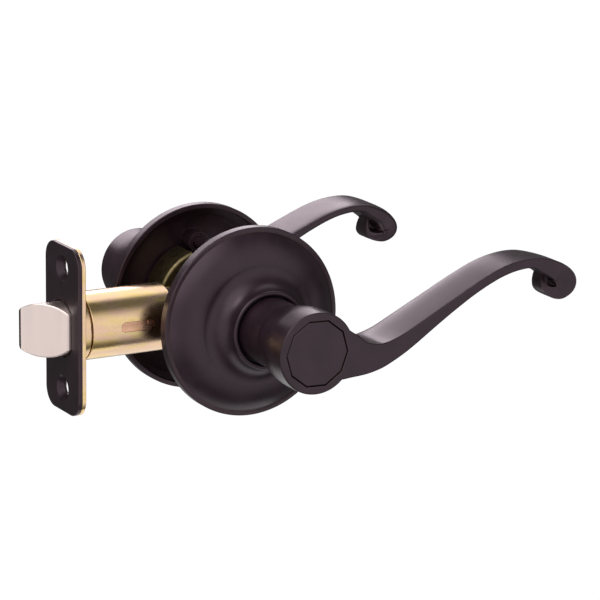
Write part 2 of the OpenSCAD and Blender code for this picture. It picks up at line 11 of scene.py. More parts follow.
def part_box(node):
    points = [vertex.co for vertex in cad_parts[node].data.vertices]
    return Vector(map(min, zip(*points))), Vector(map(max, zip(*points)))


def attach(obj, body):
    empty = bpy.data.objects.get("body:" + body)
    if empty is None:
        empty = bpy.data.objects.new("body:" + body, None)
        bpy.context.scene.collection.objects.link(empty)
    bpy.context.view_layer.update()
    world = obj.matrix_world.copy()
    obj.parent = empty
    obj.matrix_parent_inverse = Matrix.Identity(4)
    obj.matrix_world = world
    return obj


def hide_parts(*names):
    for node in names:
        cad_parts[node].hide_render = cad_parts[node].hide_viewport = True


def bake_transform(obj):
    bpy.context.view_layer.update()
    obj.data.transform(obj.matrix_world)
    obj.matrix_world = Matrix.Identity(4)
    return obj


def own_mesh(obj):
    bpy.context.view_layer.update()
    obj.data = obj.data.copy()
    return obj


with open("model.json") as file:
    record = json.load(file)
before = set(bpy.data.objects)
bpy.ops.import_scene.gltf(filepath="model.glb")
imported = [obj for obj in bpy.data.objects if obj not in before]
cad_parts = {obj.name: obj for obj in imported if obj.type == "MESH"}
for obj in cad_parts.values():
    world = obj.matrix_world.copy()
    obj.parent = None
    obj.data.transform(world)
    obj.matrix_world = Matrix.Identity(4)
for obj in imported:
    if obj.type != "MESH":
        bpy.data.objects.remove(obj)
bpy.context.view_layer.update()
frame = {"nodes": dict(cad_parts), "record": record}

MM = 0.001
SIDES = {"front": -1, "rear": 1}          # which way along Y each side of the door faces

# ---------------------------------------------------------------- sizes, from the frame (metres)
rose_lo, rose_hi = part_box("front_rose")
lever_lo, lever_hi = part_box("front_lever")
plate_lo, plate_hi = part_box("faceplate")
backing_lo, backing_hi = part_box("faceplate_backing")
collar_lo, collar_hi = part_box("latch_collar")
tube_lo, tube_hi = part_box("latch_tube")
sleeve_lo, sleeve_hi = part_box("guide_sleeve")
bolt_lo, bolt_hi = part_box("latch_bolt")
bolt_spring_lo, bolt_spring_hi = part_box("bolt_spring")
tail_spring_lo, tail_spring_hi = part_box("tail_springs")
cup_lo, cup_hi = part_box("front_spring_cup")
plug_lo, plug_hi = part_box("front_lever_plug")
return_lo, return_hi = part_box("front_return_spring")

door_half = -rose_hi.y
rose_r = rose_hi.z
rose_h = -rose_lo.y - door_half
face_h = -lever_lo.y - door_half
sleeve_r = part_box("front_drive_sleeve")[1].z
head_r = 3.9 * MM                          # of the through screws
screw_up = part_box("through_screws")[1].z - head_r
beyond = 1 * MM                            # how far a cutter runs past what it cuts


# ---------------------------------------------------------------- placing

def on_door(side):
    """Maps x right, y up and z out of the door's face to the frame, for the front or rear of the door."""
    out = SIDES[side]
    return Matrix(((1, 0, 0, 0), (0, 0, out, out * door_half), (0, 1, 0, 0), (0, 0, 0, 1)))


# Maps x up, y across and z inwards along the latch to the frame.
ALONG_LATCH = Matrix(((0, 0, 1, 0), (0, 1, 0, 0), (1, 0, 0, 0), (0, 0, 0, 1)))
# Maps x along the latch, y up and z towards the rear to the frame.
ACROSS_LATCH = Matrix(((1, 0, 0, 0), (0, 0, 1, 0), (0, 1, 0, 0), (0, 0, 0, 1)))


# ---------------------------------------------------------------- outlines

def polar(r, degrees):
    return Vector((r * math.cos(math.radians(degrees)), r * math.sin(math.radians(degrees))))


def arc(centre, r, start, end, steps=12):
    """Points from one angle to another, in degrees, round a centre."""
    return [Vector(centre) + polar(r, start + (end - start) * i / steps) for i in range(steps + 1)]


def rounded(corners, steps=6):
    """A closed outline in which each (x, y, radius) corner becomes an arc, or stays sharp at radius 0."""
    longest_cut = 0.48                     # share of a side that one corner may use up
    outline = []
    for i, (x, y, r) in enumerate(corners):
        corner = Vector((x, y))
        before = Vector(corners[i - 1][:2]) - corner
        after = Vector(corners[(i + 1) % len(corners)][:2]) - corner
        half = before.angle(after) / 2
        if r <= 0 or half > math.radians(89):
            outline.append(corner)
            continue
        cut = min(r / math.tan(half), longest_cut * min(before.length, after.length))
        start = corner + before.normalized() * cut
        centre = corner + (before.normalized() + after.normalized()).normalized() * (cut / math.cos(half))
        spoke = start - centre
        turn = -spoke.angle_signed(corner + after.normalized() * cut - centre)
        outline += [centre + Matrix.Rotation(turn * k / steps, 2) @ spoke for k in range(steps + 1)]
    return outline


def sharp(points):
    """Outline points as corners with no rounding."""
    return [(p[0], p[1], 0) for p in points]


def circle(r, centre=(0, 0), steps=96):
    return [Vector(centre) + polar(r, 360 * i / steps) for i in range(steps)]


def rectangle(x0, x1, y0, y1):
    return [Vector((x0, y0)), Vector((x1, y0)), Vector((x1, y1)), Vector((x0, y1))]


def smooth_course(stations, steps):
    """Catmull-Rom values between rows of numbers."""
    out = []
    last = len(stations) - 1
    for i in range(last):
        rows = [stations[min(max(i + j, 0), last)] for j in (-1, 0, 1, 2)]
        for k in range(steps):
            t = k / steps
            out.append([0.5 * (2 * b + (c - a) * t + (2 * a - 5 * b + 4 * c - d) * t * t
                               + (3 * b - a - 3 * c + d) * t ** 3) for a, b, c, d in zip(*rows)])
    out.append(list(stations[-1]))
    return out


# ---------------------------------------------------------------- meshes

def solid(name, points, faces, place=Matrix.Identity(4)):
    """A closed mesh with its normals outwards."""
    mesh = bpy.data.meshes.new(name)
    mesh.from_pydata([place @ Vector(p) for p in points], [], faces)
    piece = bpy.data.objects.new(name, mesh)
    bpy.context.scene.collection.objects.link(piece)
    clean(piece)
    return piece


def clean(piece):
    """Welds doubled points, drops loose edges and turns the mesh right side out."""
    work = bmesh.new()
    work.from_mesh(piece.data)
    bmesh.ops.remove_doubles(work, verts=work.verts, dist=1e-6)
    bmesh.ops.dissolve_degenerate(work, edges=work.edges, dist=1e-7)
    bmesh.ops.delete(work, geom=[e for e in work.edges if not e.link_faces], context="EDGES")
    if work.calc_volume(signed=True) < 0:
        bmesh.ops.reverse_faces(work, faces=work.faces)
    work.to_mesh(piece.data)
    work.free()


def lathe(name, profile, place=Matrix.Identity(4), segments=160):
    """A closed (radius, height) outline turned about the place's z axis."""
    n = len(profile)
    points = []
    faces = []
    for i in range(segments):
        a = 2 * math.pi * i / segments
        points += [(p[0] * math.cos(a), p[0] * math.sin(a), p[1]) for p in profile]
        this, following = i * n, (i + 1) % segments * n
        faces += [(this + j, this + (j + 1) % n, following + (j + 1) % n, following + j) for j in range(n)]
    return solid(name, points, faces, place)


def skin(name, rings, place=Matrix.Identity(4)):
    """Rings of points joined in turn, with a flat cap at each end."""
    n = len(rings[0])
    points = [p for ring in rings for p in ring]
    faces = [(i * n + j, i * n + (j + 1) % n, (i + 1) * n + (j + 1) % n, (i + 1) * n + j)
             for i in range(len(rings) - 1) for j in range(n)]
    faces.append(tuple(range(n - 1, -1, -1)))
    faces.append(tuple((len(rings) - 1) * n + j for j in range(n)))
    return solid(name, points, faces, place)


def prism(name, outline, z0, z1, place=Matrix.Identity(4)):
    """An outline drawn out from z0 to z1."""
    return skin(name, [[(p.x, p.y, z) for p in outline] for z in (z0, z1)], place)


def wire(name, path, r, place=Matrix.Identity(4), sides=12):
    """A round wire along a path of points."""
    path = [Vector(p) for p in path]
    rings = []
    side = None
    for i, p in enumerate(path):
        along = (path[min(i + 1, len(path) - 1)] - path[max(i - 1, 0)]).normalized()
        side = along.orthogonal() if side is None else side - along * side.dot(along)
        side.normalize()
        across = along.cross(side)
        rings.append([p + r * (math.cos(a) * side + math.sin(a) * across)
                      for a in (2 * math.pi * k / sides for k in range(sides))])
    return skin(name, rings, place)


def placed(shape, name, place):
    """A copy of a shape that was made about the origin, moved or mirrored to its place."""
    mesh = shape.data.copy()
    mesh.transform(place)
    if place.determinant() < 0:
        mesh.flip_normals()
    piece = bpy.data.objects.new(name, mesh)
    bpy.context.scene.collection.objects.link(piece)
    return piece


def combine(piece, other, operation):
    """Joins, cuts or crosses piece with other, which is used up."""
    step = piece.modifiers.new("combine", "BOOLEAN")
    step.object = other
    step.operation = operation
    step.solver = "EXACT"
    step.use_self = operation == "UNION"
    made = bpy.data.meshes.new_from_object(piece.evaluated_get(bpy.context.evaluated_depsgraph_get()))
    piece.modifiers.clear()
    piece.data = made
    bpy.data.objects.remove(other)
    clean(piece)
    return piece


def soften(piece, width, angle=40, chosen=lambda edge: True):
    """Rounds the piece's sharp edges."""
    work = bmesh.new()
    work.from_mesh(piece.data)
    bmesh.ops.dissolve_limit(work, angle_limit=math.radians(0.05), verts=work.verts, edges=work.edges)
    crisp = [e for e in work.edges
             if len(e.link_faces) == 2 and e.calc_face_angle() > math.radians(angle) and chosen(e)]
    bmesh.ops.bevel(work, geom=crisp, offset=width, offset_type="OFFSET", segments=3, profile=0.5,
                    affect="EDGES", clamp_overlap=False)
    work.to_mesh(piece.data)
    work.free()
    return piece


def shade(piece, angle=35):
    """Smooth shading that keeps flat faces flat and edges above the angle crisp."""
    work = bmesh.new()
    work.from_mesh(piece.data)
    for face in work.faces:
        face.smooth = True
    for edge in work.edges:
        edge.smooth = len(edge.link_faces) == 2 and edge.calc_face_angle() < math.radians(angle)
    work.to_mesh(piece.data)
    work.free()
    normals = piece.modifiers.new("normals", "WEIGHTED_NORMAL")
    normals.keep_sharp = True
    return piece


def dress(piece, node, body, look=None):
    """The piece stands for a CAD node, rides on its body and takes its slot's material, or another look."""
    shade(piece)
    piece.data.materials.clear()
    piece.data.materials.append(MATERIALS[look or slot_of[node]])
    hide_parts(node)
    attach(piece, body)
    return piece


# ---------------------------------------------------------------- materials

def add(tree, kind, inputs=None, **settings):
    """A shader node. An input is a value, or another node's output to link."""
    node = tree.nodes.new(kind)
    for key, value in settings.items():
        setattr(node, key, value)
    for key, value in (inputs or {}).items():
        if isinstance(value, bpy.types.NodeSocket):
            tree.links.new(value, node.inputs[key])
        else:
            node.inputs[key].default_value = value
    return node


def ramp(tree, factor, stops):
    node = add(tree, "ShaderNodeValToRGB", {"Fac": factor})
    elements = node.color_ramp.elements
    while len(elements) < len(stops):
        elements.new(0.5)
    for element, (position, colour) in zip(elements, stops):
        element.position = position
        element.color = (*colour, 1)
    return node.outputs["Color"]


def mix_colour(tree, factor, first, second):
    """A mix of an output and a plain colour. The node's colour sockets are the ones numbered here."""
    node = tree.nodes.new("ShaderNodeMix")
    node.data_type = "RGBA"
    tree.links.new(factor, node.inputs[0])
    tree.links.new(first, node.inputs[6])
    node.inputs[7].default_value = (*second, 1)
    return node.outputs[2]


def noise(tree, place, size, detail):
    """Noise whose patches have about the given size in metres."""
    inputs = {"Vector": place, "Scale": 1 / size, "Detail": detail}
    return add(tree, "ShaderNodeTexNoise", inputs).outputs["Fac"]


def remap(tree, value, before, after, **settings):
    """The value, taken from one range to another."""
    inputs = {"Value": value, "From Min": before[0], "From Max": before[1],
              "To Min": after[0], "To Max": after[1]}
    return add(tree, "ShaderNodeMapRange", inputs, **settings).outputs["Result"]


def edge_wear_and_sheen(tree, edge_w=0.5 * MM, most=0.7):
    """0 on smooth faces, rising on the piece's edges, where the colour is lightened: partly rubbed wear,
    partly painted edge highlight.
    """
    round_normal = add(tree, "ShaderNodeBevel", {"Radius": edge_w}, samples=4).outputs["Normal"]
    flat_normal = add(tree, "ShaderNodeNewGeometry").outputs["Normal"]
    both = {0: round_normal, 1: flat_normal}
    agree = add(tree, "ShaderNodeVectorMath", both, operation="DOT_PRODUCT").outputs["Value"]
    return remap(tree, agree, (0.97, 0.85), (0.0, most))


def surface(name, colours, roughness, metallic, mottle, grain, bump, stretch=(1, 1, 1), worn_and_sheen=None, **shader):
    """Colour that drifts in patches, a fine grain in roughness and relief, and lighter edges: partly rubbed
    wear, partly painted edge highlight.

    mottle and grain are the sizes of the patches and the grain, and bump the grain's height, in metres."""
    material = bpy.data.materials.new(name)
    material.use_nodes = True
    tree = material.node_tree
    principled = tree.nodes["Principled BSDF"]
    place = add(tree, "ShaderNodeTexCoord").outputs["Object"]
    place = add(tree, "ShaderNodeMapping", {"Vector": place, "Scale": stretch}).outputs["Vector"]
    patches = noise(tree, place, mottle, 4)
    fine = noise(tree, place, grain, 3)
    first, last = 0.3, 0.7                 # the noise seldom leaves this range
    step = (last - first) / (len(colours) - 1)
    colour = ramp(tree, patches, [(first + i * step, c) for i, c in enumerate(colours)])
    mixed = add(tree, "ShaderNodeMath", {0: patches, 1: fine}, operation="ADD").outputs["Value"]
    rough = remap(tree, mixed, (0.7, 1.3), roughness)
    # Edges lightened towards the worn colour: partly rubbed wear, partly painted edge highlight.
    if worn_and_sheen:
        patchy_wear_and_sheen = add(tree, "ShaderNodeMath", {0: edge_wear_and_sheen(tree), 1: mixed},
                     operation="MULTIPLY", use_clamp=True).outputs["Value"]
        colour = mix_colour(tree, patchy_wear_and_sheen, colour, worn_and_sheen)
    relief = add(tree, "ShaderNodeBump", {"Height": fine, "Distance": bump, "Strength": 1.0})
    for key, value in {"Base Color": colour, "Roughness": rough, "Normal": relief.outputs["Normal"]}.items():
        tree.links.new(value, principled.inputs[key])
    principled.inputs["Metallic"].default_value = metallic
    for key, value in shader.items():
        principled.inputs[key.replace("_", " ")].default_value = value
    return material


MATERIALS = {
    "oil_rubbed_bronze": surface(
        "oil_rubbed_bronze", [(0.013, 0.006, 0.009), (0.018, 0.009, 0.013), (0.025, 0.013, 0.019)],
        roughness=(0.27, 0.36), metallic=0.0, mottle=9 * MM, grain=0.25 * MM, bump=0.002 * MM,
        worn_and_sheen=(0.11, 0.062, 0.05), IOR=1.5, Specular_Tint=(1.0, 0.81, 0.91, 1.0)),
    "yellow_zinc": surface(
        "yellow_zinc", [(0.80, 0.56, 0.22), (0.86, 0.64, 0.34), (0.82, 0.56, 0.40), (0.78, 0.60, 0.27)],
        roughness=(0.16, 0.28), metallic=1.0, mottle=5 * MM, grain=0.5 * MM, bump=0.003 * MM,
        stretch=(0.35, 1, 1), worn_and_sheen=(0.90, 0.78, 0.52)),
    # A darker copy of yellow zinc: painted shade for the spring cups, which sit in shade between the roses.
    "yellow_zinc_painted_shade": surface(
        "yellow_zinc_painted_shade", [(0.10, 0.08, 0.045), (0.20, 0.16, 0.08), (0.13, 0.10, 0.05)],
        roughness=(0.35, 0.5), metallic=1.0, mottle=3 * MM, grain=0.5 * MM, bump=0.003 * MM,
        worn_and_sheen=(0.55, 0.48, 0.28)),
    "copper_plate": surface(
        "copper_plate", [(0.76, 0.42, 0.26), (0.84, 0.50, 0.33), (0.80, 0.46, 0.27)],
        roughness=(0.22, 0.34), metallic=1.0, mottle=4 * MM, grain=0.4 * MM, bump=0.003 * MM),
    "satin_nickel": surface(
        "satin_nickel", [(0.76, 0.65, 0.61), (0.82, 0.70, 0.65), (0.79, 0.67, 0.63)],
        roughness=(0.28, 0.40), metallic=1.0, mottle=6 * MM, grain=0.3 * MM, bump=0.002 * MM,
        stretch=(1, 1, 0.12), worn_and_sheen=(0.86, 0.80, 0.76)),
    "bright_steel": surface(
        "bright_steel", [(0.40, 0.40, 0.42), (0.50, 0.50, 0.51), (0.45, 0.44, 0.44)],
        roughness=(0.24, 0.4), metallic=1.0, mottle=7 * MM, grain=0.4 * MM, bump=0.003 * MM,
        worn_and_sheen=(0.66, 0.66, 0.66)),
    "spring_steel": surface(
        "spring_steel", [(0.20, 0.20, 0.22), (0.30, 0.29, 0.29)],
        roughness=(0.25, 0.4), metallic=1.0, mottle=3 * MM, grain=0.3 * MM, bump=0.002 * MM),
    # Nearly black: painted shade, so that the gap round each rose's bearing reads dark.
    "nylon": surface(
        "nylon", [(0.012, 0.012, 0.014), (0.018, 0.018, 0.020)],
        roughness=(0.42, 0.55), metallic=0.0, mottle=6 * MM, grain=0.4 * MM, bump=0.004 * MM),
}
slot_of = {part["node"]: part["material_slot"] for part in frame["record"]["subparts"]}
for node, thing in frame["nodes"].items():
    thing.data.materials.clear()
    thing.data.materials.append(MATERIALS[slot_of[node]])


# ---------------------------------------------------------------- face plate, backing plate, collar

screws = next(m for m in frame["record"]["mounts"] if m["name"] == "face_plate_screws")["dims"]
hole_up = screws["spacing_y_mm"] * MM / 2
hole_r = screws["hole_r_mm"] * MM
plate_corner_r = 6.35 * MM
plate_t = 1.4 * MM
dimple_r = 4.6 * MM
dimple_wall = 0.7 * MM
dimple_back_r = dimple_r + 0.3 * MM
dimple_land = 0.9 * MM                     # straight end of the screw hole
part_gap = 0.05 * MM                       # between parts that don't move on each other
bolt_r = bolt_hi.z
bolt_half_w = bolt_hi.y


def plate_outline():
    """x up and y across."""
    corners = [(sx * plate_hi.z, sy * plate_hi.y) for sx, sy in ((-1, -1), (1, -1), (1, 1), (-1, 1))]
    return rounded([(*corner, plate_corner_r) for corner in corners], 12)


def bolt_outline(r, half_w):
    """A circle cut by a flat on each side, y across and x up."""
    flat = math.degrees(math.asin(half_w / r))
    return arc((0, 0), r, -flat, flat, 32) + arc((0, 0), r, 180 - flat, 180 + flat, 32)


def drill(piece, z0, z1, place, centres, r):
    """Round holes through the piece, in the place's coordinates."""
    for centre in centres:
        combine(piece, prism("drill", circle(r, centre), z0 - beyond, z1 + beyond, place), "DIFFERENCE")
    return piece


def make_faceplate():
    """The front plate, with each screw hole in a deep dimple that is formed through the backing plate."""
    gap_up, gap_across = 0.5 * MM, 0.25 * MM
    x0 = plate_lo.x
    middle, rear, dimple_end = x0 + plate_t / 2, x0 + plate_t, backing_hi.x
    piece = prism("face_plate", plate_outline(), x0, rear, ALONG_LATCH)
    opening = bolt_outline(bolt_r + gap_up, bolt_half_w + gap_across)
    for s in (-1, 1):
        shift = Matrix.Translation((0, 0, s * hole_up)) @ ALONG_LATCH
        back = [(0, middle), (dimple_back_r, middle), (dimple_back_r, rear),
                (hole_r + dimple_wall, dimple_end), (0, dimple_end)]
        combine(piece, lathe("dimple", back, shift, 96), "UNION")
        cone = [(0, x0 - beyond), (dimple_r, x0 - beyond), (dimple_r, x0),
                (hole_r, dimple_end - dimple_land), (hole_r, dimple_end + beyond), (0, dimple_end + beyond)]
        combine(piece, lathe("countersink", cone, shift, 96), "DIFFERENCE")
    combine(piece, prism("opening", opening, x0 - beyond, plate_hi.x + beyond, ALONG_LATCH), "DIFFERENCE")
    soften(piece, 0.22 * MM, angle=30)
    return dress(piece, "faceplate", "lock_body")


def make_backing():
    """The thin plate behind the face plate, with room for its dimples and for the collar."""
    x0, x1 = backing_lo.x, backing_hi.x
    piece = prism("backing_plate", plate_outline(), x0, x1, ALONG_LATCH)
    drill(piece, x0, x1, ALONG_LATCH, [(0, 0)], collar_hi.z + part_gap)
    drill(piece, x0, x1, ALONG_LATCH, [(-hole_up, 0), (hole_up, 0)], dimple_back_r + part_gap)
    soften(piece, 0.2 * MM)
    return dress(piece, "faceplate_backing", "lock_body")


def make_collar():
    bolt_play = 0.3 * MM
    x0, x1 = collar_lo.x, collar_hi.x
    r0, r1 = bolt_r + bolt_play, collar_hi.z
    profile = rounded([(r0, x0, 0.2 * MM), (r1, x0, 0.2 * MM), (r1, x1, 0.7 * MM), (r0, x1, 0.3 * MM)])
    return dress(lathe("collar", profile, ALONG_LATCH), "latch_collar", "lock_body")


# ---------------------------------------------------------------- latch tube and bolt

tube_wall = 0.9 * MM
slot_x = -43.9 * MM
slot_l = 12.2 * MM
slot_z = 0.8 * MM
slot_w = 3.4 * MM


def slot_outline(inset):
    """The tube's slot seen from the front, or a key that is smaller all round by the inset."""
    middle, half = slot_x + slot_l / 2, (slot_l - slot_w) / 2
    r = slot_w / 2 - inset
    return arc((middle + half, slot_z), r, -90, 90) + arc((middle - half, slot_z), r, 90, 270)


def make_tube():
    """The tube's inner end is rolled in, and a long slot in its front side shows the guide sleeve."""
    roll_r = 1.2 * MM
    r, x0, x1 = tube_hi.z, tube_lo.x, tube_hi.x
    outer = [(r, x0, 0.3 * MM)] + sharp(arc((r - roll_r, x1 - roll_r), roll_r, 0, 90, 10))
    inner_end = arc((r - roll_r, x1 - roll_r), roll_r - tube_wall, 90, 0, 6)
    inner = sharp(inner_end) + [(r - tube_wall, x0, 0.2 * MM)]
    piece = lathe("latch_barrel", rounded(outer + inner), ALONG_LATCH, 192)
    combine(piece, prism("slot", slot_outline(0), -r - beyond, -r / 2, ACROSS_LATCH), "DIFFERENCE")
    return dress(piece, "latch_tube", "lock_body")


def make_guide_sleeve():
    """A sleeve with a key that nearly fills the tube's slot, and a small tang at the slot's inner end."""
    tang_x, tang_z = -34 * MM, 1.1 * MM
    tang_l, tang_h = 0.9 * MM, 1.1 * MM
    key_play, key_sunk = 0.16 * MM, 0.12 * MM
    bolt_play, root = 0.1 * MM, 0.2 * MM
    x0, x1 = sleeve_lo.x, sleeve_hi.x
    r0, r1 = bolt_r + bolt_play, sleeve_hi.z
    piece = lathe("guide_barrel", rectangle(r0, r1, x0, x1), ALONG_LATCH)
    key = prism("key", slot_outline(key_play), -tube_hi.z, -r0 - root, ACROSS_LATCH)
    drum = circle(tube_hi.z - key_sunk, steps=192)
    combine(key, prism("drum", drum, slot_x, slot_x + slot_l, ALONG_LATCH), "INTERSECT")
    combine(piece, key, "UNION")
    tang = rectangle(tang_x, tang_x + tang_l, tang_z, tang_z + tang_h)
    combine(piece, prism("tang", tang, sleeve_lo.y, -r0 - root, ACROSS_LATCH), "UNION")
    return dress(piece, "guide_sleeve", "lock_body")


def make_bolt():
    """The bolt's front side is planed to a slope, and its stem is grooved for a clip."""
    body_l, nose_w, slope_short = 17.5 * MM, 1.1 * MM, 1 * MM
    stem_r, groove_r, groove_l, stem_end, stem_root = 2.5 * MM, 2 * MM, 0.85 * MM, 0.5 * MM, 2 * MM
    x0 = bolt_lo.x
    slope_end = plate_lo.x - slope_short
    piece = prism("bolt", bolt_outline(bolt_r, bolt_half_w), x0, x0 + body_l, ALONG_LATCH)
    low, nose_y = -2 * bolt_half_w, bolt_half_w - nose_w
    cut = [(x0, nose_y), (slope_end, -bolt_half_w), (slope_end, low), (x0 - beyond, low),
           (x0 - beyond, nose_y)]
    combine(piece, prism("plane", [Vector(p) for p in cut], -2 * bolt_r, 2 * bolt_r), "DIFFERENCE")
    soften(piece, 0.45 * MM, angle=25)
    groove_x1 = bolt_hi.x - stem_end
    groove_x0 = groove_x1 - groove_l
    stem_x0 = x0 + body_l - stem_root
    stem = [(0, stem_x0), (stem_r, stem_x0), (stem_r, groove_x0), (groove_r, groove_x0),
            (groove_r, groove_x1), (stem_r, groove_x1), (stem_r, bolt_hi.x), (0, bolt_hi.x)]
    combine(piece, lathe("stem", stem, ALONG_LATCH, 64), "UNION")
    return dress(piece, "latch_bolt", "latch_bolt")


# ---------------------------------------------------------------- springs

def coil(r, start, turns, z0, z1, per_turn=36):
    """Points along a helix from the start angle, in degrees."""
    n = round(turns * per_turn)
    return [(*polar(r, start + 360 * turns * i / n), z0 + (z1 - z0) * i / n) for i in range(n + 1)]


def make_bolt_spring():
    """It rides on the tail and is built at one length; the real spring shortens as the bolt is pushed in."""
    wire_r, turns = 0.35 * MM, 4
    r = bolt_spring_hi.z - wire_r
    x0, x1 = bolt_spring_lo.x + wire_r, bolt_spring_hi.x - wire_r
    piece = wire("push_spring", coil(r, 0, turns, x0, x1), wire_r, ALONG_LATCH)
    dress(piece, "bolt_spring", "bolt_tail")
    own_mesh(piece)


def make_tail_springs():
    """A pair, above and below the cam, built at one length; the real springs shorten as the tail is drawn in.
    """
    wire_r, turns = 0.22 * MM, 6
    r = tail_spring_hi.y - wire_r
    rise = Matrix.Translation((0, 0, tail_spring_hi.z - r - wire_r))
    x0, x1 = tail_spring_lo.x + wire_r, tail_spring_hi.x - wire_r
    path = coil(r, 0, turns, x0, x1)
    upper = wire("return_coils", path, wire_r, rise @ ALONG_LATCH)
    lower = wire("lower", path, wire_r, rise.inverted() @ ALONG_LATCH)
    combine(upper, lower, "UNION")
    dress(upper, "tail_springs", "lock_body")
    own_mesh(upper)


def make_return_spring(side):
    """A torsion spring round the drive sleeve, built at rest and fixed in place; in the lock one leg stays
    with the cup and the other turns with the lever.
    """
    wire_r, r, leg = 0.8 * MM, 12.4 * MM, 15.9 * MM
    start, stop, bend = 337, 199.5, 6      # degrees
    turns = 2 + (stop + 360 - start) / 360
    z0 = -return_hi.y - door_half + wire_r
    z1 = -return_lo.y - door_half - wire_r
    loops = coil(r, start + bend, turns - 2 * bend / 360, z0, z1)
    path = [(*polar(leg, start), z0), *loops, (*polar(leg, stop), z1)]
    piece = wire(side + "_torsion_spring", path, wire_r, on_door(side))
    node = side + "_return_spring"
    shade(piece)
    piece.data.materials.append(MATERIALS[slot_of[node]])
    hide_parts(node)
    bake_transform(piece)


# ---------------------------------------------------------------- roses and spring cups

collar_gap_r = 11.8 * MM                   # bore of the rose's collar


def rose_profile():
    """Radius against height above the door: a rim with a fine groove, a low dome, a cove and a lip."""
    rim_h, rim_edge, rim_w = 3.6 * MM, 0.5 * MM, 1.3 * MM
    groove_w, groove_d = 0.35 * MM, 0.2 * MM
    dome_h, dome_r, shell_t = 8.6 * MM, 19 * MM, 1.6 * MM
    cove_r, cove_x = 7.1 * MM, 20.6 * MM
    wall, wall_h, floor_h, floor_r = 1.7 * MM, 2 * MM, 7 * MM, 16 * MM
    groove_r = rose_r - rim_w
    dome_w = groove_r - groove_w - dome_r
    rise = dome_h - rim_h
    bend = (dome_w ** 2 + rise ** 2) / (2 * rise)
    low = math.degrees(math.asin((bend - rise) / bend))
    dome = arc((dome_r, dome_h - bend), bend, low, 90, 32)
    cove = arc((cove_x, dome_h + cove_r), cove_r, 270, 180, 32)
    lip_r = (cove_x - cove_r - collar_gap_r) / 2
    lip = arc((collar_gap_r + lip_r, rose_h - lip_r), lip_r, 0, 180, 16)
    short = 4                              # degrees by which the inside stops before the rim
    inner_dome = arc((dome_r, dome_h - bend), bend - shell_t, 90, low + short, 24)
    rim = [(rose_r, 0, 0.3 * MM), (rose_r, rim_h, rim_edge), (groove_r, rim_h, 0.12 * MM),
           (groove_r, rim_h - groove_d, 0), (groove_r - groove_w, rim_h - groove_d, 0)]
    inside = [(collar_gap_r, floor_h, 0), (floor_r, floor_h, 0)] + sharp(inner_dome)
    base = [(rose_r - wall, wall_h, 0.3 * MM), (rose_r - wall, 0, 0.3 * MM)]
    return rounded(rim + sharp(dome) + sharp(cove) + sharp(lip) + inside + base, 5)


def make_rose(side):
    """The front rose has blind bosses for the posts, and the rear one holes and seats for the screws."""
    place = on_door(side)
    piece = lathe(side + "_escutcheon", rose_profile(), place, 192)
    centres = [(0, -screw_up), (0, screw_up)]
    boss_top, post_top, seat_h, seat_r = 7.8 * MM, 7 * MM, 7.6 * MM, 4.2 * MM
    boss_r, bore_r = (5 * MM, 3.63 * MM) if side == "front" else (3.6 * MM, 2.33 * MM)
    for centre in centres:
        combine(piece, prism("boss", circle(boss_r, centre, 64), 0, boss_top, place), "UNION")
    if side == "front":
        drill(piece, 0, post_top - beyond, place, centres, bore_r)
    else:
        drill(piece, 0, rose_h, place, centres, bore_r)
        drill(piece, seat_h + beyond, rose_h, place, centres, seat_r)
    return dress(piece, side + "_rose", "lock_body")


def make_spring_cup(side):
    """An open cup with a scallop where each screw passes and a lug for the spring."""
    place = on_door(side)
    r, wall = cup_hi.x, 0.9 * MM
    floor_h = -cup_hi.y - door_half
    rim_h = -cup_lo.y - door_half
    sleeve_play = 0.4 * MM
    bore_r = sleeve_r + sleeve_play
    lug_angle, lug_in, lug_w, lug_l = 330, 3.1 * MM, 2 * MM, 3 * MM
    scallop_r = 5.4 * MM
    profile = rounded([(bore_r, floor_h, 0.2 * MM), (r, floor_h, 1.2 * MM), (r, rim_h, 0.4 * MM),
                       (r - wall, rim_h, 0.4 * MM), (r - wall, floor_h + wall, 0.6 * MM),
                       (bore_r, floor_h + wall, 0.2 * MM)])
    piece = lathe(side + "_cup", profile, place, 160)
    turn = Matrix.Rotation(math.radians(lug_angle), 4, "Z")
    lug = rectangle(r - lug_in, r - wall / 2, -lug_w / 2, lug_w / 2)
    combine(piece, prism("lug", lug, floor_h + wall / 2, floor_h + wall / 2 + lug_l, place @ turn), "UNION")
    drill(piece, floor_h, rim_h, place, [(0, -screw_up), (0, screw_up)], scallop_r)
    soften(piece, 0.15 * MM, angle=50)
    # The cups take the darkened zinc copy, which is painted shade.
    return dress(piece, side + "_spring_cup", "lock_body", "yellow_zinc_painted_shade")


# ---------------------------------------------------------------- levers

hub_r = -lever_lo.x
plug_turn = -2                             # degrees
plug_r = plug_hi.x / math.cos(math.radians(plug_turn))
plug_t = plug_hi.y - plug_lo.y
sides_of_plug = 10
LEVER_DROOP = {"front": 0, "rear": 3.9}    # degrees that each lever hangs below level at rest

